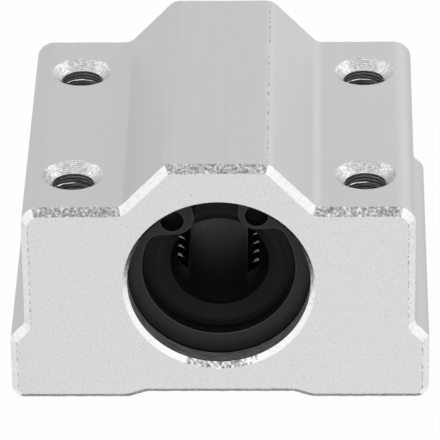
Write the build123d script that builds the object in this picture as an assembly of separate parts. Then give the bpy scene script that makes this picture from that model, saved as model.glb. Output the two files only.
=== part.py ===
from build123d import *
from math import asin, atan, cos, degrees, radians, sin, sqrt, tan
import os

# Linear bearing block: an aluminium extrusion, cut to length and machined, that holds a recirculating
# ball bearing for a round shaft between two internal retaining rings.
# Millimetres. The shaft runs along Y at bore_height, X goes across the block, and Z = 0 is under the feet.

# Housing: the extruded profile, seen along the shaft
block_width = 34.5
block_height = 22.0
bore_height = 11.0
flange_height = 5.85
flange_step = 1.2
shoulder_height = 18.0
ridge_foot_width = 16.0
land_width = 8.4
relief_width = 15.2
relief_depth = 0.5
relief_slope_run = 1.5
relief_round = 1.6
corner_round = 1.1
step_round = 1.0
shoulder_round = 1.6
ridge_foot_round = 1.2
land_round = 1.2

# Housing: what is machined
block_length = 30.0
end_chamfer = 0.6
bore_chamfer = 0.46
bore_clearance = 0.01
hole_spacing_x = 24.0
hole_spacing_y = 18.0
mounting_hole_radius = 1.7
countersink_radius = 2.5

# Retaining rings, one in a groove at each end of the bearing
ring_thickness = 1.0
ring_side_clearance = 0.05
ring_groove_depth = 0.34
ring_rim_clearance = 0.03
ring_mean_width = 1.57
ring_eccentricity = 0.54
ring_gap = 3.5
ring_gap_slope = 11.0
ring_gap_shift = 0.17
ring_turn = 4.0
lug_hole_radius = 0.94
lug_hole_inset = 1.3
lug_hole_angle = 34.0
lug_radius = 1.58
lug_centre_height = 5.45

# Bearing: sleeve, seals and end rings
shaft_radius = 4.0
bearing_radius = 7.5
bearing_length = 24.0
raceway_overrun = 0.4
seal_radius = 6.6
seal_thickness = 1.0
seal_inset = 0.15
seal_lip_clearance = 0.03
seal_mouth_radius = 4.35
seal_mouth_depth = 0.35
end_ring_thickness = 0.5
end_ring_width = 1.3

# Bearing: ball circuits and the retainer that guides them
ball_radius = 0.75
ball_gap = 0.03
first_loaded_row = 40.5
circuit_names = ["upper_right", "upper_left", "lower_left", "lower_right"]
track_clearance = 0.056
track_floor_clearance = 0.03
slot_lip = 0.1
slot_lip_thickness = 0.23
retainer_bore_clearance = 0.2
retainer_running_clearance = 0.09
retainer_end_wall = 1.9
retainer_play = 0.05

# Sizes worked out from those above
bore_radius = bearing_radius + bore_clearance
ring_groove_radius = bore_radius + ring_groove_depth
ring_groove_start = bearing_length / 2
ring_groove_end = ring_groove_start + ring_thickness + 2 * ring_side_clearance
shaft_axis = Pos(0, 0, bore_height)

seal_face = bearing_length / 2 - seal_inset
seal_back = seal_face - seal_thickness
end_ring_back = seal_back - end_ring_thickness

ball_pitch = 2 * ball_radius + ball_gap
turn_radius = ball_pitch / sqrt(2)
track_half_width = ball_radius + track_clearance
loaded_radius = shaft_radius + ball_radius
return_radius = seal_radius - track_floor_clearance - ball_radius
raceway_radius = loaded_radius + ball_radius
retainer_bore_radius = shaft_radius + retainer_bore_clearance
retainer_radius = raceway_radius - retainer_running_clearance
retainer_half_length = end_ring_back - retainer_play
row_room = 2 * (retainer_half_length - retainer_end_wall - turn_radius - track_half_width)
balls_in_row = int(row_room / ball_pitch) + 1
row_half_length = (balls_in_row - 1) * ball_pitch / 2
raceway_half_length = row_half_length + raceway_overrun
loaded_row_offset = degrees(asin(turn_radius / loaded_radius))
return_row_offset = degrees(asin(turn_radius / return_radius))
track_floor = sqrt(return_radius**2 - turn_radius**2) - ball_radius - track_floor_clearance


def turned(points):
    """A solid turned round the shaft's axis from (radius, distance along the shaft) points."""
    return shaft_axis * revolve(make_face(Polyline(*points, close=True)), Axis.Y)


def both_ends(half):
    """The whole outline of a turned shape that has the same outline at each end."""
    return half + [(radius, -along) for radius, along in reversed(half)]


def radial_plane(angle):
    """A plane through the shaft's axis, Y along the shaft, that faces out at this angle from +X."""
    outward = Vector(cos(radians(angle)), 0, sin(radians(angle)))
    across = Vector(sin(radians(angle)), 0, -cos(radians(angle)))
    return Plane(origin=(0, 0, bore_height), x_dir=across, z_dir=outward)


def circuit_angle(index):
    """The direction that a circuit's turns face, midway between its loaded and return rows."""
    return first_loaded_row + 360 / len(circuit_names) * index - loaded_row_offset


# Housing

def housing_profile():
    """The extrusion's section: feet, stepped flange, shoulders and the ridge over the bore."""
    upper_side = block_width / 2 - flange_step
    corners = [
        ((0, relief_depth), 0),
        ((relief_width / 2 - relief_slope_run, relief_depth), relief_round),
        ((relief_width / 2, 0), relief_round),
        ((block_width / 2, 0), corner_round),
        ((block_width / 2, flange_height), step_round),
        ((upper_side, flange_height + flange_step), step_round),
        ((upper_side, shoulder_height), shoulder_round),
        ((ridge_foot_width / 2, shoulder_height), ridge_foot_round),
        ((land_width / 2, block_height), land_round),
        ((0, block_height), 0),
    ]
    points = [point for point, rounding in corners]
    roundings = [rounding for point, rounding in corners[1:-1]]
    half = FilletPolyline(*points, radius=roundings)
    return make_face(half + mirror(half, about=Plane.YZ))


def mounting_hole():
    """A hole drilled through for tapping, countersunk at the shoulder."""
    outline = [
        (0, 0),
        (mounting_hole_radius, 0),
        (mounting_hole_radius, shoulder_height - (countersink_radius - mounting_hole_radius)),
        (countersink_radius, shoulder_height),
        (0, shoulder_height),
    ]
    return revolve(Plane.XZ * make_face(Polyline(*outline, close=True)), Axis.Z)


def housing():
    block = extrude(Plane.XZ * housing_profile(), block_length / 2, both=True)
    block = chamfer(block.faces().filter_by(Axis.Y).edges(), end_chamfer)
    bore = turned(both_ends([
        (bore_radius, ring_groove_start),
        (ring_groove_radius, ring_groove_start),
        (ring_groove_radius, ring_groove_end),
        (bore_radius, ring_groove_end),
        (bore_radius, block_length / 2 - bore_chamfer),
        (bore_radius + bore_chamfer, block_length / 2),
        (0, block_length / 2),
    ]))
    holes = GridLocations(hole_spacing_x, hole_spacing_y, 2, 2) * mounting_hole()
    return block - bore - holes


# Retaining rings

def retaining_ring():
    """The front ring: an eccentric band, open at the top, with a drilled lug each side of the gap."""
    rim_radius = ring_groove_radius - ring_rim_clearance
    rim = Circle(rim_radius)
    band = rim - Pos(0, ring_eccentricity) * Circle(ring_groove_radius - ring_mean_width)
    lug = Circle(lug_radius)
    lug += Rectangle(2 * lug_radius, rim_radius, align=(Align.CENTER, Align.MIN))
    lug += Pos(0, -lug_radius) * Rectangle(rim_radius, rim_radius, align=Align.MIN)
    lug = Pos(ring_gap / 2 + lug_radius / cos(radians(ring_gap_slope)), lug_centre_height) * lug
    gap_spread = 2 * lug_centre_height * tan(radians(ring_gap_slope))
    gap = make_face(Polyline(
        ((gap_spread - ring_gap) / 2, 0),
        ((ring_gap - gap_spread) / 2, 0),
        ((ring_gap + gap_spread) / 2, 2 * lug_centre_height),
        (-(ring_gap + gap_spread) / 2, 2 * lug_centre_height),
        close=True,
    ))
    band += (Pos(ring_gap_shift, 0) * (lug + mirror(lug, about=Plane.YZ))) & rim
    band -= Pos(ring_gap_shift, 0) * gap
    hole_distance = bearing_radius - lug_hole_inset
    for side in (-1, 1):
        angle = radians(side * lug_hole_angle)
        band -= Pos(hole_distance * sin(angle), hole_distance * cos(angle)) * Circle(lug_hole_radius)
    seat = Plane.XZ.offset(ring_groove_start + ring_side_clearance)
    return shaft_axis * extrude(seat * Rot(0, 0, ring_turn) * band, ring_thickness)


# Bearing

def bearing_sleeve():
    """The hardened outer sleeve: raceway in the middle, room for the turns and returning balls round it."""
    sleeve = turned(both_ends([
        (bearing_radius, bearing_length / 2),
        (seal_radius, bearing_length / 2),
        (seal_radius, raceway_half_length),
        (raceway_radius, raceway_half_length),
    ]))
    groove = Rectangle(2 * (ball_radius + retainer_running_clearance), 2 * raceway_half_length)
    for index in range(len(circuit_names)):
        plane = radial_plane(circuit_angle(index) - return_row_offset)
        sleeve -= extrude(plane.offset(loaded_radius) * groove, seal_radius - loaded_radius)
    return sleeve


def ball_retainer():
    """The moulded cage: a tube with an endless track for each circuit, open to the shaft at one row."""
    retainer = turned(both_ends([
        (retainer_radius, retainer_half_length),
        (retainer_bore_radius, retainer_half_length),
    ]))
    row_length = 2 * row_half_length
    slot_half_width = track_half_width - slot_lip
    outer_turn = Rot(0, 0, 90) * SlotCenterToCenter(row_length, 2 * (turn_radius + track_half_width))
    inner_turn = Rot(0, 0, 90) * SlotCenterToCenter(row_length, 2 * (turn_radius - track_half_width))
    channel = Rectangle(2 * track_half_width, row_length + 2 * track_half_width)
    slot = Rectangle(2 * slot_half_width, row_length + 2 * slot_half_width)
    channel_floor = retainer_bore_radius + slot_lip_thickness
    for index in range(len(circuit_names)):
        circuit = radial_plane(circuit_angle(index))
        loaded_row = radial_plane(circuit_angle(index) + loaded_row_offset)
        retainer -= extrude(circuit.offset(track_floor) * (outer_turn - inner_turn), ball_radius * 2)
        retainer -= extrude(loaded_row.offset(channel_floor) * channel, ball_radius * 2)
        retainer -= extrude(loaded_row.offset(shaft_radius / 2) * slot, retainer_radius)
    return retainer


def end_seal():
    """The rubber seal at the front end, pressed into the sleeve, its lip just clear of a nominal shaft."""
    lip_radius = shaft_radius + seal_lip_clearance
    return turned([
        (seal_radius, -seal_back),
        (seal_radius, -seal_face),
        (seal_mouth_radius, -seal_face),
        (lip_radius, -seal_face + seal_mouth_depth),
        (lip_radius, -seal_back),
    ])


def end_ring():
    """The steel ring pressed into the sleeve behind the front seal, which keeps the retainer in."""
    return turned([
        (seal_radius, -seal_back),
        (seal_radius, -end_ring_back),
        (seal_radius - end_ring_width, -end_ring_back),
        (seal_radius - end_ring_width, -seal_back),
    ])


# Balls

def ball():
    """One ball, as twenty flat facets whose corners lie on the true sphere, one of them pointing out."""
    golden = (1 + sqrt(5)) / 2
    short = ball_radius / sqrt(1 + golden**2)
    corners = []
    for a in (-short, short):
        for b in (-golden * short, golden * short):
            corners += [(0, a, b), (a, b, 0), (b, 0, a)]
    return Rot(degrees(atan(1 / golden)), 0, 0) * ConvexPolyhedron(corners)


def ball_row(one_ball, circuit, across, outward):
    """A straight row of balls, at this place across the circuit and this distance from the shaft's axis."""
    places = [step * ball_pitch - row_half_length for step in range(balls_in_row)]
    return [circuit * Pos(across, along, outward) * one_ball for along in places]


def ball_groups(index):
    """The balls of one circuit: the row that carries the load, the row that returns and one in each turn."""
    one_ball = ball()
    circuit = radial_plane(circuit_angle(index)).location
    turn_end = row_half_length + turn_radius
    loaded = ball_row(one_ball, circuit, -turn_radius, sqrt(loaded_radius**2 - turn_radius**2))
    returning = ball_row(one_ball, circuit, turn_radius, sqrt(return_radius**2 - turn_radius**2))
    turning = [circuit * Pos(0, end * turn_end, return_radius) * one_ball for end in (-1, 1)]
    return {"loaded_balls": loaded, "return_balls": returning, "turn_balls": turning}


def write(node, solids):
    """Writes one node, as a single solid or as a group of separate ones."""
    shape = solids[0] if len(solids) == 1 else Compound(solids)
    export_step(shape, f"parts/{node}.step")


os.makedirs("parts", exist_ok=True)
write("housing", housing().solids())
write("bearing_sleeve", bearing_sleeve().solids())
write("ball_retainer", ball_retainer().solids())
for name, piece in [("retaining_ring", retaining_ring()), ("end_seal", end_seal()), ("end_ring", end_ring())]:
    write(f"front_{name}", piece.solids())
    write(f"rear_{name}", mirror(piece, about=Plane.XZ).solids())
for index, place in enumerate(circuit_names):
    for group, balls in ball_groups(index).items():
        write(f"{place}_{group}", balls)
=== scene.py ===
import math

import bmesh
import bpy
from mathutils import Matrix, Vector, noise
from mathutils.geometry import delaunay_2d_cdt


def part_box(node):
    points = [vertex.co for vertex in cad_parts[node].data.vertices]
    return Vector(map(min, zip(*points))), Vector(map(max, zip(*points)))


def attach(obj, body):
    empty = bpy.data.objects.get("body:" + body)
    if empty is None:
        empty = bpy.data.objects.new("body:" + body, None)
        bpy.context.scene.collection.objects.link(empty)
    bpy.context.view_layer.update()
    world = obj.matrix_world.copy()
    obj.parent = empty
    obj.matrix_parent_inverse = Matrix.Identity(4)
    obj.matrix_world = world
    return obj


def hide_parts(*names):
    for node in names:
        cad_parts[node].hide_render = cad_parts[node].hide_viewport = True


# Linear bearing block, dressed for its portrait. Sizes in the dictionaries are millimetres and degrees.
# The shaft runs along Y, X goes across the block, and the block stands on its feet at Z = 0.

mm = 0.001
weldDistance = 1e-4  # mm: corners closer than this are one corner
sameWithin = 0.01  # mm: radii and heights closer than this count as the same

print("loading the packed block")
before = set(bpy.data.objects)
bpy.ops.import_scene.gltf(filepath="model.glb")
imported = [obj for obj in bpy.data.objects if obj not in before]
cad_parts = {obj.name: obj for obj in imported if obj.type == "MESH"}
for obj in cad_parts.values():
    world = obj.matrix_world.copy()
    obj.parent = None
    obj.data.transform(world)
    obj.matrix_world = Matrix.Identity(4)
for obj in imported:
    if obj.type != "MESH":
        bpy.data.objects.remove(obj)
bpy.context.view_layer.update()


# helpers that several pieces use

def nodeSize(name):
    low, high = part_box(name)
    return (high - low) / mm


def meshPiece(name, bm, materials, sharpAngle):
    bmesh.ops.recalc_face_normals(bm, faces=bm.faces)
    mesh = bpy.data.meshes.new(name)
    bm.transform(Matrix.Scale(mm, 4))  # built in mm, kept in metres
    bm.to_mesh(mesh)
    bm.free()
    for material in materials:
        mesh.materials.append(material)
    mesh.shade_smooth()
    mesh.set_sharp_from_angle(angle=math.radians(sharpAngle))
    piece = bpy.data.objects.new(name, mesh)
    bpy.context.scene.collection.objects.link(piece)
    return piece


def bridge(bm, low, high, materials, columns=None):
    count = len(low)
    for i in columns if columns is not None else range(count):
        j = (i + 1) % count
        corners = []
        for vertex in (low[i], low[j], high[j], high[i]):
            if vertex not in corners:
                corners.append(vertex)
        face = bm.faces.new(corners)
        face.material_index = materials[i] if hasattr(materials, "__len__") else materials


def fillWithHoles(bm, edge, holes, flatten, material):
    # a flat face inside the loop edge, with the round holes (middle, radius, loop) left open
    loops = [[v for v, before in zip(edge, edge[-1:] + edge) if (v.co - before.co).length > weldDistance]]
    loops += [loop for middle, radius, loop in holes]
    vertices = [vertex for loop in loops for vertex in loop]
    edges, first = [], 0
    for loop in loops:
        edges += [(first + k, first + (k + 1) % len(loop)) for k in range(len(loop))]
        first += len(loop)
    flat = [flatten(vertex.co) for vertex in vertices]
    insideOnly, nearness = 1, 1e-6
    places, _, faces, origins, _, _ = delaunay_2d_cdt(flat, edges, [], insideOnly, nearness)
    for corners in faces:
        centre = sum((places[k] for k in corners), Vector((0, 0))) / len(corners)
        if any((centre - Vector(middle)).length < radius for middle, radius, loop in holes):
            continue
        face = bm.faces.new([vertices[origins[k][0]] for k in corners])
        face.material_index = material


def lathedRows(bm, stations, columns, place):
    return [[bm.verts.new(place(radius, along, 2 * math.pi * k / columns)) for k in range(columns)]
            for radius, along in stations]


# camera, at the place where the photograph was taken from

portrait = {
    "azimuth": 1.416,
    "elevation": 29.6746,
    "roll": -0.8035,
    "distance": 427.06,
    "target": (-0.198, 0, 8.588),
    "lens": 413.49,
    "sensor": 36,
}


def placeCamera(view):
    azimuth, elevation, roll = (math.radians(view[key]) for key in ("azimuth", "elevation", "roll"))
    back = Vector((
        math.sin(azimuth) * math.cos(elevation),
        -math.cos(azimuth) * math.cos(elevation),
        math.sin(elevation),
    ))
    level = Vector((math.cos(azimuth), math.sin(azimuth), 0))
    upright = back.cross(level)
    right = level * math.cos(roll) + upright * math.sin(roll)
    up = upright * math.cos(roll) - level * math.sin(roll)
    place = (Vector(view["target"]) + back * view["distance"]) * mm
    lens = bpy.data.cameras.new("portraitCamera")
    lens.lens = view["lens"]
    lens.sensor_width = view["sensor"]
    camera = bpy.data.objects.new("portraitCamera", lens)
    camera.matrix_world = Matrix.Translation(place) @ Matrix((right, up, back)).transposed().to_4x4()
    bpy.context.scene.collection.objects.link(camera)
    bpy.context.scene.camera = camera


print("placing the camera")
placeCamera(portrait)


# materials

def blankMaterial(name):
    material = bpy.data.materials.new(name)
    material.use_nodes = True
    nodes = material.node_tree.nodes
    return material, nodes, material.node_tree.links, nodes["Principled BSDF"]


def placedNoise(nodes, links, stretch, perMm, detail=4, rough=0.6):
    where = nodes.new("ShaderNodeTexCoord")
    mapping = nodes.new("ShaderNodeMapping")
    mapping.inputs["Scale"].default_value = stretch
    texture = nodes.new("ShaderNodeTexNoise")
    texture.inputs["Scale"].default_value = perMm / mm
    texture.inputs["Detail"].default_value = detail
    texture.inputs["Roughness"].default_value = rough
    links.new(where.outputs["Object"], mapping.inputs["Vector"])
    links.new(mapping.outputs["Vector"], texture.inputs["Vector"])
    return texture.outputs["Fac"]


def ramp(nodes, links, source, stops):
    chart = nodes.new("ShaderNodeValToRGB")
    chart.color_ramp.elements.remove(chart.color_ramp.elements[0])
    for number, (place, colour) in enumerate(stops):
        stop = chart.color_ramp.elements[0] if number == 0 else chart.color_ramp.elements.new(place)
        stop.position = place
        stop.color = (*colour, 1) if hasattr(colour, "__len__") else (colour, colour, colour, 1)
    links.new(source, chart.inputs["Fac"])
    return chart.outputs["Color"]


def bump(nodes, links, source, height, under=None):
    raised = nodes.new("ShaderNodeBump")
    raised.inputs["Strength"].default_value = 1
    raised.inputs["Distance"].default_value = height * mm
    links.new(source, raised.inputs["Height"])
    if under is not None:
        links.new(under, raised.inputs["Normal"])
    return raised.outputs["Normal"]


cutFinishes = {
    # tones: speckle from dark to light, with the noise value that each starts at
    # rough: roughness of the dark and of the light specks; size: specks per mm; bump in mm
    # rings: tool marks, and on the threaded wall painted highlights of the thread's turns, with the axis they
    # go round, their spacing in mm and their share of the speckle
    # pits: small dark marks, with the noise values at which they're full and gone
    "extruded": {"tones": ((0.30, 0.532), (0.55, 0.535), (0.75, 0.538)), "rough": (0.475, 0.445),
                 "size": 1.2, "detail": 3, "stretch": (1, 0.05, 1), "bump": 0.0001},
    "milledEnd": {"tones": ((0.24, 0.54), (0.34, 0.69), (0.55, 0.73), (0.75, 0.78)), "rough": (0.50, 0.42),
                  "size": 4.0, "detail": 5, "stretch": (1, 1, 1), "bump": 0.004, "pits": (0.25, 0.29)},
    "brightCut": {"tones": ((0.30, 0.78), (0.45, 0.90), (0.70, 0.95)), "rough": (0.50, 0.38),
                  "size": 4.0, "detail": 3, "stretch": (1, 1, 1), "bump": 0.006},
    "chatteredCut": {"tones": ((0.34, 0.20), (0.45, 0.38), (0.55, 0.49), (0.70, 0.86)), "rough": (0.55, 0.40),
                     "size": 4.4, "detail": 2, "stretch": (1, 1, 1), "bump": 0.02},
    "sideCut": {"tones": ((0.30, 0.68), (0.45, 0.79), (0.70, 0.85)), "rough": (0.50, 0.40),
                "size": 4.0, "detail": 3, "stretch": (1, 1, 1), "bump": 0.004},
    # painted shade: the chamfers along the bottom are darker, for the shadow where the block stands on the
    # floor
    "paintedShadeCut": {"tones": ((0.35, 0.18), (0.65, 0.40)), "rough": (0.60, 0.50),
                  "size": 3.0, "detail": 3, "stretch": (1, 1, 1), "bump": 0.006},
    # painted shade: a darker line along the land's right edge
    "landEdgePaintedShade": {"tones": ((0.40, 0.32), (0.48, 0.50), (0.60, 0.55)), "rough": (0.50, 0.42),
                   "size": 3.0, "detail": 3, "stretch": (1, 0.5, 1), "bump": 0.004},
    # darker along the end face's edge of the side chamfers
    "darkerEdgeCut": {"tones": ((0.40, 0.36), (0.49, 0.68), (0.60, 0.80)), "rough": (0.50, 0.42),
                  "size": 4.0, "detail": 2, "stretch": (1, 1, 1), "bump": 0.010},
    "boreCut": {"tones": ((0.34, 0.84), (0.46, 0.95), (0.66, 0.98)), "rough": (0.30, 0.18),
                "size": 4.0, "detail": 3, "stretch": (1, 1, 1), "bump": 0.010},
    "boreChatter": {"tones": ((0.36, 0.16), (0.46, 0.42), (0.54, 0.54), (0.66, 0.92)), "rough": (0.45, 0.30),
                    "size": 4.4, "detail": 2, "stretch": (1, 1, 1), "bump": 0.02},
    "boreWall": {"tones": ((0.34, 0.12), (0.50, 0.38), (0.66, 0.80)), "rough": (0.75, 0.55),
                 "size": 2.5, "detail": 3, "stretch": (0.3, 2.0, 0.3), "bump": 0.004,
                 "rings": ("Y", 0.22, 0.35)},
    "countersunk": {"tones": ((0.32, 0.38), (0.50, 0.58), (0.68, 0.84)), "rough": (0.40, 0.26),
                    "size": 4.5, "detail": 3, "stretch": (1, 1, 1), "bump": 0.006,
                    "rings": ("Z", 0.13, 0.16)},
    # painted highlight: the rings and the lighter tones on the threaded wall stand for light caught by the
    # thread's turns
    "threaded": {"tones": ((0.30, 0.14), (0.50, 0.36), (0.70, 0.85)), "rough": (0.50, 0.35),
                 "size": 2.5, "detail": 3, "stretch": (0.6, 0.6, 1.6), "bump": 0.010,
                 "rings": ("Z", 0.27, 0.75)},
}
speckle = {"dark": 0.3, "light": 0.7}  # noise values between which the roughness changes
ringMarkAndHighlightLook = {"waver": 1.5, "detail": 2}
pitLook = {"perMm": 5.0, "detail": 1, "shade": 0.45}


def toolMarksAndThreadHighlights(nodes, links, grain, axis, spacing, share):
    # fine rings round an axis, tool marks and on the thread painted highlights, part of the speckle so that
    # they come and go as it does
    where = nodes.new("ShaderNodeTexCoord")
    rings = nodes.new("ShaderNodeTexWave")
    rings.wave_type = "BANDS"
    rings.bands_direction = axis
    # at a scale of 1 the bands lie pi / 10 apart
    rings.inputs["Scale"].default_value = math.pi / (10 * spacing * mm)
    rings.inputs["Distortion"].default_value = ringMarkAndHighlightLook["waver"]
    rings.inputs["Detail"].default_value = ringMarkAndHighlightLook["detail"]
    links.new(where.outputs["Object"], rings.inputs["Vector"])
    mixed = nodes.new("ShaderNodeMix")
    mixed.inputs["Factor"].default_value = share
    links.new(grain, mixed.inputs["A"])
    links.new(rings.outputs["Fac"], mixed.inputs["B"])
    return mixed.outputs["Result"]


def pitted(nodes, links, tone, full, gone):
    pits = placedNoise(nodes, links, (1, 1, 1), pitLook["perMm"], pitLook["detail"])
    shade = nodes.new("ShaderNodeMix")
    shade.data_type = "RGBA"
    shade.blend_type = "MULTIPLY"
    # by number, as the sockets for colours share their names with those for plain values
    amount, under, over, mixed = shade.inputs[0], shade.inputs[6], shade.inputs[7], shade.outputs[2]
    amount.default_value = 1.0
    links.new(tone, under)
    links.new(ramp(nodes, links, pits, [(full, pitLook["shade"]), (gone, 1.0)]), over)
    return mixed


def cutAluminium(name, finish):
    material, nodes, links, shader = blankMaterial(name)
    shader.inputs["Metallic"].default_value = 1.0
    grain = placedNoise(nodes, links, finish["stretch"], finish["size"], finish["detail"])
    if "rings" in finish:
        grain = toolMarksAndThreadHighlights(nodes, links, grain, *finish["rings"])
    tone = ramp(nodes, links, grain, finish["tones"])
    if "pits" in finish:
        tone = pitted(nodes, links, tone, *finish["pits"])
    links.new(tone, shader.inputs["Base Color"])
    onDark, onLight = finish["rough"]
    links.new(ramp(nodes, links, grain, [(speckle["dark"], onDark), (speckle["light"], onLight)]),
              shader.inputs["Roughness"])
    links.new(bump(nodes, links, grain, finish["bump"]), shader.inputs["Normal"])
    return material


print("mixing the finishes")
aluminium = {name: cutAluminium(name, finish) for name, finish in cutFinishes.items()}
aluminiumOrder = list(aluminium)


# housing: an extrusion sawn to length, with chamfered ends, a bore and four tapped holes

housingSize = {
    "boreHeight": 11.0,
    "flangeHeight": 5.85,
    "flangeStep": 1.2,
    "shoulderHeight": 18.0,
    "ridgeFootWidth": 16.0,
    "landWidth": 8.4,
    "reliefWidth": 15.2,
    "reliefDepth": 0.5,
    "reliefSlopeRun": 1.5,
    "rounds": {"relief": 1.6, "corner": 1.1, "step": 1.0, "shoulder": 1.5, "ridgeFoot": 1.2, "land": 1.2},
    "endChamfer": 0.6,
    "boreRadius": 7.51,
    "boreChamfer": 0.37,
    "boreChamferDrop": 0.09,  # the countersink that cut the chamfer sat this much low
    "grooveRadius": 7.85,
    "grooveFrom": 12.0,
    "grooveTo": 13.22,
    "sharpAngle": 28,
}
housingDetail = {
    "step": 0.16,  # length of a mesh edge along the outline
    "roundPieces": 3,  # least number of mesh edges in a round
    "chamferRows": 6,
    # share of a face's direction that makes its chamfer a top, a bottom or a side one
    "facing": {"top": 0.94, "bottom": 0.85, "side": 0.985},
    # how rough the saw left each chamfer, and how far its edges stray
    "chatter": {"chatteredCut": 0.05, "brightCut": 0.012, "sideCut": 0.012, "paintedShadeCut": 0.012},
    "chatterSize": 0.35,
    "edgeWander": {"chatteredCut": 0.06, "brightCut": 0.06, "sideCut": 0.04, "paintedShadeCut": 0.03},
    "grainApart": {"sideEdge": 9, "faceEdge": 5, "between": 7},  # keeps the grain of each row its own
    "seed": 4,
}
boreDetail = {
    "columns": 256,
    "chamferRows": 3,
    "chatter": 0.02,
    "chatterSize": 0.5,
    "chatterSeed": 3,
    "roughHalfAngle": 20,  # from the lowest point of the bore, where the chamfer's cutter left it rough
    "roughFade": 9,
    "roughStep": 0.35,
    "roughSeed": 8,
}
holeSize = {
    "spacing": (24.0, 18.0),
    "drill": 1.7,
    "thread": 2.0,
    "pitch": 0.7,
    "flankAngle": 30,
    "rootFlat": 1 / 16,  # share of the pitch, to each side of the root
    "threadDepth": 8.0,
    "threadStart": {(-1, -1): 0.44, (-1, 1): 0.36, (1, -1): 0.42, (1, 1): 0.39},  # share of a turn: side, end
    "threadFade": 4.0,  # how far under the cone the thread is at its full depth
    "runOut": 0.5,
    "plainHeights": (4.0, 0.4, 0.0),
    "countersink": 2.5,
    "columns": 64,
    "rowsPerTurn": 12,
}


def profileCorners(size, width, height):
    # the right half from the relief up to the land, each corner with its rounding; the left half mirrors it
    upperSide = width / 2 - size["flangeStep"]
    relief = size["reliefWidth"] / 2
    rounds = size["rounds"]
    right = [
        ((relief - size["reliefSlopeRun"], size["reliefDepth"]), rounds["relief"]),
        ((relief, 0), rounds["relief"]),
        ((width / 2, 0), rounds["corner"]),
        ((width / 2, size["flangeHeight"]), rounds["step"]),
        ((upperSide, size["flangeHeight"] + size["flangeStep"]), rounds["step"]),
        ((upperSide, size["shoulderHeight"]), rounds["shoulder"]),
        ((size["ridgeFootWidth"] / 2, size["shoulderHeight"]), rounds["ridgeFoot"]),
        ((size["landWidth"] / 2, height), rounds["land"]),
    ]
    return right + [((-x, z), rounding) for (x, z), rounding in reversed(right)]


class OutlinePoint:
    # one place on the outline, which the chamfer can move in without folding the outline over
    def __init__(self, place, outward, pivot=None, room=0, inward=None, slide=()):
        self.place, self.outward = place, outward
        self.pivot, self.room, self.inward = pivot, room, inward
        self.slide = slide  # for a straight run: (direction, corner's room) at each of its ends

    def inset(self, depth):
        if self.pivot is not None and depth > self.room:
            return self.pivot + self.inward * (depth - self.room)
        place = self.place - self.outward * depth
        for step, room in self.slide:
            place = place + step * max(depth - room, 0)
        return place


def roundedOutline(corners, detail):
    points = [Vector(place) for place, rounding in corners]
    count = len(points)
    ends = []
    for i, (place, rounding) in enumerate(corners):
        before = (points[i - 1] - points[i]).normalized()
        after = (points[(i + 1) % count] - points[i]).normalized()
        half = before.angle(after) / 2
        reach = rounding / math.tan(half)
        turn = before.x * after.y - before.y * after.x
        start, stop = points[i] + before * reach, points[i] + after * reach
        ends.append((start, stop, before, after, half, rounding, turn))
    outline = []
    for i, (start, stop, before, after, half, rounding, turn) in enumerate(ends):
        middle = points[i] + (before + after).normalized() * (rounding / math.sin(half))
        convex = turn < 0  # the outline runs anticlockwise, with the metal on its left
        pieces = max(detail["roundPieces"], math.ceil(rounding * (math.pi - 2 * half) / detail["step"]))
        first, last = start - middle, stop - middle
        sweep = first.angle(last)
        side = 1 if first.x * last.y - first.y * last.x > 0 else -1
        inward = (before + after).normalized() / math.sin(half)
        for k in range(pieces + 1):
            arm = Matrix.Rotation(side * sweep * k / pieces, 2) @ first
            if convex:
                outline.append(OutlinePoint(middle + arm, arm.normalized(), middle, rounding, inward))
            else:
                outline.append(OutlinePoint(middle + arm, -arm.normalized()))
        nextStart, _, _, _, nextHalf, nextRounding, nextTurn = ends[(i + 1) % count]
        run = nextStart - stop
        pieces = max(1, round(run.length / detail["step"]))
        outward = Vector((run.y, -run.x)).normalized()
        pullHere = after / math.tan(half) if convex else Vector((0, 0))
        pullThere = -after / math.tan(nextHalf) if nextTurn < 0 else Vector((0, 0))
        for k in range(1, pieces):
            share = k / pieces
            slide = ((pullHere * (1 - share), rounding), (pullThere * share, nextRounding))
            outline.append(OutlinePoint(stop + run * share, outward, slide=slide))
    return outline


def zoneOf(outward, facing):
    if outward.y > facing["top"]:
        return "chatteredCut"
    # bottom chamfers take the finish with painted shade, for the shadow along the floor
    if outward.y < -facing["bottom"]:
        return "paintedShadeCut"
    return "sideCut" if abs(outward.x) > facing["side"] else "brightCut"


grainLook = {"seedStep": 17.3, "fade": 0.9, "step": 2.1, "octaves": 3}


def grainAt(x, y, z, size, seed):
    place = Vector((x, y, z)) / size + Vector((seed * grainLook["seedStep"], 0, 0))
    return noise.fractal(place, grainLook["fade"], grainLook["step"], grainLook["octaves"])


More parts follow.
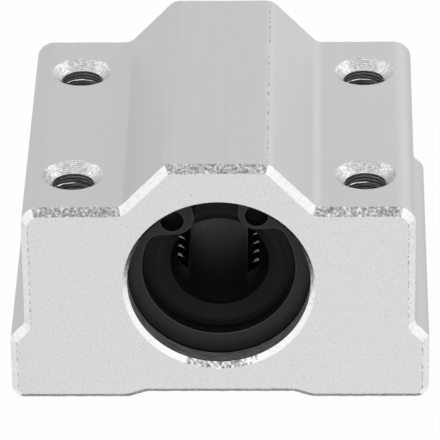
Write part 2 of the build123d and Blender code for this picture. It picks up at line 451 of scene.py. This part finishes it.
def chamferedEnd(bm, outline, end, length, size, detail):
    # rows from the edge on the sides to the edge on the end face, chattered by the cutter between them
    rows, chamfer = [], size["endChamfer"]
    fine, seed, apart = detail["chatterSize"], detail["seed"], detail["grainApart"]
    for row in range(detail["chamferRows"] + 1):
        share = row / detail["chamferRows"]
        ring = []
        for point in outline:
            tight = point.pivot is not None and point.room < chamfer  # these meet in one point when moved in
            zone = "brightCut" if tight else zoneOf(point.outward, detail["facing"])
            x, z = point.pivot if tight else point.place
            wander, chatter = detail["edgeWander"][zone], detail["chatter"][zone]
            depth = share * chamfer
            along = length / 2 - chamfer + depth
            if row == 0:
                along -= wander * grainAt(x, end * apart["sideEdge"], z, fine * 2, seed)
            elif row == detail["chamferRows"]:
                depth += wander * grainAt(x, end * apart["faceEdge"], z, fine, seed + 1)
            else:
                chatter *= grainAt(x, end * (apart["between"] + along), z, fine, seed + 2)
                depth += chatter / math.sqrt(2)
                along -= chatter / math.sqrt(2)
            flat = point.inset(max(depth, 0))
            ring.append(bm.verts.new((flat.x, end * along, flat.y)))
        rows.append(ring)
    zones = [zoneOf(point.outward, detail["facing"]) for point in outline]
    for low, high in zip(rows, rows[1:]):
        if high is rows[-1]:
            # the side chamfers' row at the end face's edge is darker
            zones = ["darkerEdgeCut" if zone == "sideCut" else zone for zone in zones]
        bridge(bm, low, high, [aluminiumOrder.index(zone) for zone in zones])
    return rows[0], rows[-1]


def boreSurface(bm, size, detail, length):
    # from the rim on the rear face to the rim on the front face; returns both, the front one first
    bore, chamfer, half = size["boreRadius"], size["boreChamfer"], length / 2
    groove, grooveFrom, grooveTo = size["grooveRadius"], size["grooveFrom"], size["grooveTo"]
    steps, fine = detail["chamferRows"], detail["chatterSize"]
    cut = [(bore + chamfer * (1 - k / steps), half - chamfer * k / steps) for k in range(steps)]
    wall = [(bore, half - chamfer), (bore, grooveTo)]
    ringSeat = [(groove, grooveTo), (groove, grooveFrom), (bore, grooveFrom)]
    stations = cut + wall + ringSeat
    finishes = ["boreCut"] * len(cut) + ["boreWall"] * (len(stations) - len(cut) - 1)
    stations += [(radius, -along) for radius, along in reversed(stations)]
    finishes = finishes + ["boreWall"] + finishes[::-1]

    def place(radius, along, angle):
        drop = 0
        if abs(along) > grooveTo:
            if bore + sameWithin < radius < bore + chamfer - sameWithin:
                across, up = radius * math.cos(angle), radius * math.sin(angle)
                radius += detail["chatter"] * grainAt(across, along, up, fine, detail["chatterSeed"])
            drop = size["boreChamferDrop"] * (radius - bore) / chamfer
        return (radius * math.cos(angle), along, size["boreHeight"] - drop + radius * math.sin(angle))

    rows = lathedRows(bm, stations, detail["columns"], place)
    for low, high, finish, (radius, along) in zip(rows, rows[1:], finishes, stations):
        materials = [aluminiumOrder.index(finish)] * detail["columns"]
        for k in range(detail["columns"]):
            stray = grainAt(k * detail["roughStep"], along, 0, fine, detail["roughSeed"])
            fromLowest = abs((k + 0.5) * 360 / detail["columns"] - 270) + detail["roughFade"] * stray
            if finish == "boreCut" and fromLowest < detail["roughHalfAngle"]:
                materials[k] = aluminiumOrder.index("boreChatter")
        bridge(bm, low, high, materials)
    return rows[-1], rows[0]


def threadRadius(angle, height, start, share, size):
    # the thread's groove, cut into the drilled wall to a share of its full depth
    phase = (height / size["pitch"] - angle / (2 * math.pi) + start) % 1
    fromRoot = abs(phase - 0.5) * size["pitch"] - size["pitch"] * size["rootFlat"]
    full = (size["thread"] - size["drill"]) * share
    depth = full - max(fromRoot, 0) / math.tan(math.radians(size["flankAngle"]))
    return size["drill"] + max(depth, 0)


def threadShare(depth, size):
    return min(max((depth - size["countersink"] + size["drill"]) / size["threadFade"], 0), 1)


def tappedHole(bm, x, y, top, start, size):
    rowStep = size["pitch"] / size["rowsPerTurn"]
    threadRows = round(size["threadDepth"] / rowStep)
    heights = [top - k * rowStep for k in range(threadRows + 1)]
    heights += [top - size["threadDepth"] - size["runOut"], *size["plainHeights"]]
    rows = []
    for height in heights:
        ring = []
        for k in range(size["columns"]):
            angle = 2 * math.pi * k / size["columns"]
            radius = size["drill"]
            if top - size["threadDepth"] < height < top:
                radius = threadRadius(angle, height, start, threadShare(top - height, size), size)
            radius = max(radius, size["countersink"] - (top - height))
            ring.append(bm.verts.new((x + radius * math.cos(angle), y + radius * math.sin(angle), height)))
        rows.append(ring)
    coneDepth = size["countersink"] - size["drill"]
    for low, high, height in zip(rows, rows[1:], heights):
        countersunk = top - height < coneDepth - sameWithin
        bridge(bm, low, high, aluminiumOrder.index("countersunk" if countersunk else "threaded"))
    return rows[0], rows[-1]


def buildHousing(size, detail, bore, hole):
    width, length, height = nodeSize("housing")
    outline = roundedOutline(profileCorners(size, width, height), detail)
    count = len(outline)
    bm = bmesh.new()
    extruded = aluminiumOrder.index("extruded")
    front, frontFace = chamferedEnd(bm, outline, -1, length, size, detail)
    rear, rearFace = chamferedEnd(bm, outline, 1, length, size, detail)
    boreFront, boreRear = boreSurface(bm, size, bore, length)
    boreRim = ((0, size["boreHeight"] - size["boreChamferDrop"]), size["boreRadius"] + size["boreChamfer"])
    for face, rim in ((frontFace, boreFront), (rearFace, boreRear)):
        fillWithHoles(bm, face, [(*boreRim, rim)], lambda co: Vector((co.x, co.z)),
                      aluminiumOrder.index("milledEnd"))
    holes = {}
    for side in (-1, 1):
        for end in (-1, 1):
            x, y = (way * spacing / 2 for way, spacing in zip((side, end), hole["spacing"]))
            holes[x, y] = tappedHole(bm, x, y, size["shoulderHeight"], hole["threadStart"][side, end], hole)

    # columns of the outline that run through a pierced flat are filled together, round the holes
    taken = set()
    for level, ringEnd, radius in ((size["shoulderHeight"], 0, hole["countersink"]), (0, 1, hole["drill"])):
        for side in (-1, 1):
            columns = orderedRun([i for i in range(count) if piercedFlat(outline, i, level, side)], count)
            taken.update(columns)
            run = columns + [(columns[-1] + 1) % count]
            edge = [front[i] for i in run] + [rear[i] for i in reversed(run)]
            rims = [((x, y), radius, rings[ringEnd]) for (x, y), rings in holes.items() if x * side > 0]
            fillWithHoles(bm, edge, rims, lambda co: Vector((co.x, co.y)), extruded)
    finishes = [extruded] * count
    # painted shade along the right edge of the land
    finishes[rightLandEdge(outline, size)] = aluminiumOrder.index("landEdgePaintedShade")
    bridge(bm, front, rear, finishes, [i for i in range(count) if i not in taken])
    bmesh.ops.remove_doubles(bm, verts=bm.verts, dist=weldDistance)
    return meshPiece("milledHousing", bm, aluminium.values(), size["sharpAngle"])


def rightLandEdge(outline, size):
    # the column where the land's flat goes over into its round on the right
    edge = Vector((size["landWidth"] / 2, nodeSize("housing").z))
    return min(range(len(outline)), key=lambda i: (outline[i].place - edge).length)


def piercedFlat(outline, i, level, side):
    ends = outline[i].place, outline[(i + 1) % len(outline)].place
    return all(abs(place.y - level) < weldDistance and place.x * side > 0 for place in ends)


def orderedRun(columns, count):
    # the same columns, starting after the gap where the run wraps past the outline's first point
    members = set(columns)
    start = next(i for i in columns if (i - 1) % count not in members)
    return [(start + k) % count for k in range(len(columns))]


print("building the housing")
milledHousing = buildHousing(housingSize, housingDetail, boreDetail, holeSize)
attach(milledHousing, "root")
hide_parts("housing")


# black pieces and steel inside the bore

innerFinishes = {
    "phosphatedSteel": {"colour": (0.009, 0.009, 0.009), "metallic": 0.0, "roughness": 0.36, "gloss": 0.27},
    # lighter edges: rubbed steel, and partly a painted highlight on the rounded edges
    "rubbedSteelAndHighlight": {"colour": (0.018, 0.018, 0.018), "metallic": 0.0, "roughness": 0.32, "gloss": 0.45},
    # painted shade: the ground steel sleeve is dark in colour for the shade it lies in at the bore's ends
    "groundSteelPaintedShade": {"colour": (0.06, 0.06, 0.06), "metallic": 0.9, "roughness": 0.45, "gloss": 0.3},
    "mouldedResin": {"colour": (0.009, 0.009, 0.009), "metallic": 0.0, "roughness": 0.45, "gloss": 0.09},
    "nitrileRubber": {"colour": (0.006, 0.006, 0.006), "metallic": 0.0, "roughness": 0.48, "gloss": 0.11},
    "pressedSteel": {"colour": (0.3, 0.3, 0.3), "metallic": 1.0, "roughness": 0.4, "gloss": 0.5},
    # painted shade: the polished balls are darkened to dim what they reflect inside the bore
    "polishedBallPaintedShade": {"colour": (0.09, 0.09, 0.092), "metallic": 1.0, "roughness": 0.05, "gloss": 0.5},
}
innerGrain = {"perMm": 3.0, "mottling": 0.15, "height": 0.003}


def plainFinish(name, finish, grain):
    material, nodes, links, shader = blankMaterial(name)
    shader.inputs["Metallic"].default_value = finish["metallic"]
    shader.inputs["Specular IOR Level"].default_value = finish["gloss"]
    mottle = placedNoise(nodes, links, (1, 1, 1), grain["perMm"])
    less, more = 1 - grain["mottling"], 1 + grain["mottling"]
    darker, lighter = (tuple(c * share for c in finish["colour"]) for share in (less, more))
    smoother, rougher = finish["roughness"] * less, finish["roughness"] * more
    links.new(ramp(nodes, links, mottle, [(speckle["dark"], darker), (speckle["light"], lighter)]),
              shader.inputs["Base Color"])
    links.new(ramp(nodes, links, mottle, [(speckle["dark"], smoother), (speckle["light"], rougher)]),
              shader.inputs["Roughness"])
    links.new(bump(nodes, links, mottle, grain["height"]), shader.inputs["Normal"])
    return material


inner = {name: plainFinish(name, finish, innerGrain) for name, finish in innerFinishes.items()}


# the edges of the moulded retainer and the turned sleeve are rounded on a copy of each

edgeRounds = {
    # radius of the edge, and the least angle between two faces that counts as an edge
    "ball_retainer": {"radius": 0.08, "angle": 40, "material": "mouldedResin", "slot": "retainer_resin"},
    # the sleeve's finish carries painted shade
    "bearing_sleeve": {"radius": 0.08, "angle": 40, "material": "groundSteelPaintedShade", "slot": "bearing_steel"},
}
roundDetail = {"segments": 2, "flatAngle": 0.5, "sharpAngle": 40}


def packedMesh(node):
    bm = bmesh.new()
    bm.from_mesh(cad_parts[node].data)
    bm.transform(Matrix.Scale(1 / mm, 4))
    bmesh.ops.remove_doubles(bm, verts=bm.verts, dist=weldDistance)
    return bm


def roundedCopy(node, look, detail):
    bm = packedMesh(node)
    flat = math.radians(detail["flatAngle"])
    bmesh.ops.dissolve_limit(bm, angle_limit=flat, verts=bm.verts, edges=bm.edges)
    edges = [edge for edge in bm.edges
             if len(edge.link_faces) == 2 and edge.calc_face_angle() > math.radians(look["angle"])]
    bmesh.ops.bevel(bm, geom=edges, offset=look["radius"], segments=detail["segments"], profile=0.5,
                    affect="EDGES", clamp_overlap=True)
    piece = meshPiece("rounded_" + node, bm, [inner[look["material"]]], detail["sharpAngle"])
    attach(piece, "root")
    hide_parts(node)


print("dressing the bearing")
for node, look in edgeRounds.items():
    roundedCopy(node, look, roundDetail)
for node in ("front_end_ring", "rear_end_ring"):
    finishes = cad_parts[node].data.materials
    finishes.clear()
    finishes.append(inner["pressedSteel"])


# retaining rings: stamped from strip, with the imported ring's outline, rounded edges and soft inside corners

ringSize = {
    "from": 12.05,
    "to": 13.05,
    "edge": 0.10,
    "edgeSteps": 3,
    "cornerReach": 0.7,  # how far an inside corner's curve starts from the corner
    "cornerTurn": 30,  # an outline that turns less than this has no corner there
    "cornerSteps": 8,
    "sharpAngle": 40,
}


def stampedOutline(node, end, size):
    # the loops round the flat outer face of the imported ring, the longest first
    bm = packedMesh(node)
    outer = [face for face in bm.faces
             if all(abs(end * v.co.y - size["to"]) < sameWithin for v in face.verts)]
    following = {}
    for face in outer:
        for loop in face.loops:
            if sum(other in outer for other in loop.edge.link_faces) == 1:
                following[loop.vert] = loop.link_loop_next.vert
    loops = []
    while following:
        start, vertex = following.popitem()
        loop = [start]
        while vertex is not start:
            loop.append(vertex)
            vertex = following.pop(vertex)
        loops.append([Vector((v.co.x, v.co.z)) for v in loop])
    bm.free()
    return sorted(loops, key=len, reverse=True)


def pointAlong(loop, start, reach, step):
    # the place at a given distance round the loop, and the index of the point that comes next
    here, left = start, reach
    while True:
        ahead = (here + step) % len(loop)
        run = (loop[ahead] - loop[here]).length
        if run > left:
            return loop[here].lerp(loop[ahead], left / run), ahead
        here, left = ahead, left - run


def turnsLeft(loop):
    return sum(a.x * b.y - a.y * b.x for a, b in zip(loop, loop[1:] + loop[:1])) > 0


def softenInsideCorners(loop, size):
    corners = []
    for i, here in enumerate(loop):
        before, after = here - loop[i - 1], loop[(i + 1) % len(loop)] - here
        turn = math.degrees(before.angle_signed(after))  # positive when it turns clockwise
        if abs(turn) > size["cornerTurn"] and (turn > 0) == turnsLeft(loop):
            corners.append(here)
    for corner in corners:
        i = loop.index(corner)
        first, keepTo = pointAlong(loop, i, size["cornerReach"], -1)
        last, keepFrom = pointAlong(loop, i, size["cornerReach"], 1)
        shares = [k / size["cornerSteps"] for k in range(size["cornerSteps"] + 1)]
        curve = [first.lerp(corner, share).lerp(corner.lerp(last, share), share) for share in shares]
        keptCount = (keepTo - keepFrom) % len(loop) + 1
        loop = [loop[(keepFrom + k) % len(loop)] for k in range(keptCount)] + curve
    return loop


def insetLoop(loop, depth):
    # moves the loop into the metal, which lies on one side of it all the way round
    inset = []
    for i, here in enumerate(loop):
        before = (here - loop[i - 1]).normalized()
        after = (loop[(i + 1) % len(loop)] - here).normalized()
        aside = (before + after).normalized()
        inset.append(here + Vector((-aside.y, aside.x)) * depth)
    return inset


def stampedRing(node, end, size):
    bm = bmesh.new()
    loops = stampedOutline(node, end, size)
    loops[0] = softenInsideCorners(loops[0], size)
    side = 1 if turnsLeft(loops[0]) else -1
    edge = size["edge"]
    angles = [math.pi / 2 * k / size["edgeSteps"] for k in range(size["edgeSteps"] + 1)]
    section = [(edge * (1 - math.sin(a)), size["to"] - edge * (1 - math.cos(a))) for a in angles]
    section += [(depth, size["from"] + size["to"] - along) for depth, along in reversed(section)]
    flatFinish, edgeFinish = 0, 1  # places in the list of finishes below
    ends = ([], [])
    for loop in loops:
        rows = [[bm.verts.new((p.x, end * along, p.y)) for p in insetLoop(loop, side * depth)]
                for depth, along in section]
        for number, (low, high) in enumerate(zip(rows, rows[1:])):
            bridge(bm, low, high, edgeFinish if number < size["edgeSteps"] else flatFinish)
        ends[0].append(rows[0])
        ends[1].append(rows[-1])
    for rim, *holes in ends:
        rims = []
        for hole in holes:
            places = [Vector((v.co.x, v.co.z)) for v in hole]
            middle = sum(places, Vector((0, 0))) / len(places)
            rims.append((middle, max((place - middle).length for place in places), hole))
        fillWithHoles(bm, rim, rims, lambda co: Vector((co.x, co.z)), flatFinish)
    # the edge rows are lighter: rubbed steel and a painted highlight on the rounded edges
    finishes = [inner["phosphatedSteel"], inner["rubbedSteelAndHighlight"]]
    ring = meshPiece("stamped_" + node, bm, finishes, size["sharpAngle"])
    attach(ring, "root")
    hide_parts(node)


print("stamping the retaining rings")
stampedRing("front_retaining_ring", -1, ringSize)
stampedRing("rear_retaining_ring", 1, ringSize)


# end seals: turned mouldings, flat outside and dished towards the lip that the shaft runs in

sealSize = {
    "outer": 6.6,
    "inside": 10.85,
    "outside": 11.85,
    "flatFrom": 4.95,
    "lip": 4.05,
    "lipAt": 11.12,  # how far out the lip lies
    "relief": 4.35,  # behind the lip
    "lipSlope": 0.12,
    "edge": 0.09,
    "edgeCut": 0.3,  # share of the edge that comes off half way round it
    "flatDrop": 0.7,  # share of the edge that the dish lies below the flat where it starts
    "rimChamfer": 0.08,
    "groove": 5.45,
    "grooveWidth": 0.14,
    "grooveFloor": 0.5,  # share of the width
    "grooveDepth": 0.02,
    "columns": 160,
    "sharpAngle": 25,
}


def sealStations(size):
    # from the inner end of the bore, out over the face and back down the outer wall
    edge, rim, lip, lipAt = size["edge"], size["rimChamfer"], size["lip"], size["lipAt"]
    inside, outside, outer = size["inside"], size["outside"], size["outer"]
    cut, drop = edge * size["edgeCut"], edge * size["flatDrop"]
    half, floor = size["grooveWidth"] / 2, outside - size["grooveDepth"]
    halfFloor = half * size["grooveFloor"]
    return [
        (size["relief"], inside),
        (lip, inside + size["lipSlope"]),
        (lip, lipAt - edge),
        (lip + cut, lipAt - cut),
        (lip + edge, lipAt),
        (size["flatFrom"] - edge, outside - drop),
        (size["flatFrom"] + edge, outside),
        (size["groove"] - half, outside),
        (size["groove"] - halfFloor, floor),
        (size["groove"] + halfFloor, floor),
        (size["groove"] + half, outside),
        (outer - rim, outside),
        (outer, outside - rim),
        (outer, inside),
    ]


def turnedSeal(node, end, size):
    bm = bmesh.new()

    def place(radius, along, angle):
        return (radius * math.cos(angle), end * along, housingSize["boreHeight"] + radius * math.sin(angle))

    rows = lathedRows(bm, sealStations(size), size["columns"], place)
    for low, high in zip(rows, rows[1:] + rows[:1]):
        bridge(bm, low, high, 0)
    seal = meshPiece("turned_" + node, bm, [inner["nitrileRubber"]], size["sharpAngle"])
    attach(seal, "root")
    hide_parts(node)


print("turning the seals")
turnedSeal("front_end_seal", -1, sealSize)
turnedSeal("rear_end_seal", 1, sealSize)


# balls: smooth ones stand for the faceted solids, each in the same place

ballSize = {"radius": 0.75, "segments": 28, "rings": 16, "sharpAngle": 60}


def addBall(bm, middle, size):
    # rings of corners between two poles
    def place(radius, height, angle):
        return middle + Vector((radius * math.cos(angle), radius * math.sin(angle), height))

    angles = [math.pi * k / size["rings"] for k in range(1, size["rings"])]
    stations = [(size["radius"] * math.sin(angle), size["radius"] * math.cos(angle)) for angle in angles]
    columns = size["segments"]
    rows = lathedRows(bm, stations, columns, place)
    top, bottom = (bm.verts.new(place(0, height, 0)) for height in (size["radius"], -size["radius"]))
    for low, high in zip([[top] * columns] + rows, rows + [[bottom] * columns]):
        bridge(bm, low, high, 0)


def smoothBalls(node, size):
    # every sum and list is put in order, so that each run gives the same mesh
    packed = bmesh.new()
    packed.from_mesh(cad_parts[node].data)
    bmesh.ops.remove_doubles(packed, verts=packed.verts, dist=weldDistance * mm)
    groups, unseen = [], set(packed.verts)
    while unseen:
        group, todo = [], [unseen.pop()]
        while todo:
            vertex = todo.pop()
            group.append(vertex.co.copy())
            for edge in vertex.link_edges:
                other = edge.other_vert(vertex)
                if other in unseen:
                    unseen.remove(other)
                    todo.append(other)
        groups.append(group)
    packed.free()
    middles = [sum(sorted(group, key=tuple), Vector()) / len(group) / mm for group in groups]
    bm = bmesh.new()
    for middle in sorted(middles, key=lambda place: place.y):
        addBall(bm, middle, size)
    # the balls' colour carries painted shade
    balls = meshPiece("smooth_" + node, bm, [inner["polishedBallPaintedShade"]], size["sharpAngle"])
    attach(balls, "root")
    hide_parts(node)


print("rounding the balls")
for node in [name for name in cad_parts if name.endswith("_balls")]:
    smoothBalls(node, ballSize)


# stage: a white sweep that the camera sees as plain white, and soft lamps

stageLook = {"floorSize": 2.0, "floorDrop": 0.02, "floorColour": 0.8, "floorRough": 0.9, "whiteShare": 0.97}
worldLook = {"white": 1.0, "light": 0.75}
lampTarget = (0, 0, 0.01)  # metres, as the lamps' distances and sizes are
lamps = {
    # direction that the lamp stands in, its distance, size and power
    "rightSoftbox": {"azimuth": 108, "elevation": 40, "distance": 0.6, "size": 0.45, "power": 0.32},
    "leftSoftbox": {"azimuth": -108, "elevation": 40, "distance": 0.6, "size": 0.45, "power": 0.20},
    "frontSoftbox": {"azimuth": 15, "elevation": 12, "distance": 0.7, "size": 0.6, "power": 0.15},
    "backSoftbox": {"azimuth": 156, "elevation": 21, "distance": 0.7, "size": 0.6, "power": 0.22},
    "sparkLamp": {"azimuth": 0, "elevation": 38, "distance": 0.6, "size": 0.05, "power": 0.12},
}


def whiteForCamera(nodes, links, shader, output, share):
    path = nodes.new("ShaderNodeLightPath")
    sees = nodes.new("ShaderNodeMath")
    sees.operation = "MAXIMUM"
    links.new(path.outputs["Is Camera Ray"], sees.inputs[0])
    links.new(path.outputs["Is Glossy Ray"], sees.inputs[1])
    seesAny = nodes.new("ShaderNodeMath")
    seesAny.operation = "MAXIMUM"
    links.new(sees.outputs[0], seesAny.inputs[0])
    links.new(path.outputs["Is Transmission Ray"], seesAny.inputs[1])
    amount = nodes.new("ShaderNodeMath")
    amount.operation = "MULTIPLY"
    amount.inputs[1].default_value = share
    links.new(seesAny.outputs[0], amount.inputs[0])
    white = nodes.new("ShaderNodeEmission")
    white.inputs["Strength"].default_value = 1.0
    mixed = nodes.new("ShaderNodeMixShader")
    links.new(amount.outputs[0], mixed.inputs["Fac"])
    links.new(shader.outputs[0], mixed.inputs[1])
    links.new(white.outputs[0], mixed.inputs[2])
    links.new(mixed.outputs[0], output.inputs["Surface"])


def paintStage(look):
    bpy.ops.mesh.primitive_plane_add(size=look["floorSize"])
    floor = bpy.context.object
    floor.name = "paperSweep"
    floor.location.z = -look["floorDrop"] * mm  # just clear of the feet
    material, nodes, links, shader = blankMaterial("paperWhite")
    shader.inputs["Base Color"].default_value = (look["floorColour"],) * 3 + (1,)
    shader.inputs["Roughness"].default_value = look["floorRough"]
    whiteForCamera(nodes, links, shader, nodes["Material Output"], look["whiteShare"])
    floor.data.materials.append(material)


def lightWorld(look):
    world = bpy.data.worlds.new("studioWorld")
    bpy.context.scene.world = world
    world.use_nodes = True
    nodes, links = world.node_tree.nodes, world.node_tree.links
    light = nodes["Background"]
    light.inputs["Color"].default_value = (1, 1, 1, 1)
    light.inputs["Strength"].default_value = look["light"]
    whiteForCamera(nodes, links, light, nodes["World Output"], look["white"])


def lookAt(piece, target):
    piece.rotation_euler = (Vector(target) - piece.location).to_track_quat("-Z", "Y").to_euler()


def hangLamps(table):
    for name, lamp in table.items():
        azimuth, elevation = math.radians(lamp["azimuth"]), math.radians(lamp["elevation"])
        data = bpy.data.lights.new(name, "AREA")
        data.shape = "DISK"
        data.size = lamp["size"]
        data.energy = lamp["power"]
        fixture = bpy.data.objects.new(name, data)
        fixture.location = Vector((
            math.sin(azimuth) * math.cos(elevation),
            -math.cos(azimuth) * math.cos(elevation),
            math.sin(elevation),
        )) * lamp["distance"]
        lookAt(fixture, lampTarget)
        bpy.context.scene.collection.objects.link(fixture)


print("setting the stage")
paintStage(stageLook)
lightWorld(worldLook)
hangLamps(lamps)
bpy.context.scene.view_settings.view_transform = "Standard"

print("finishing")
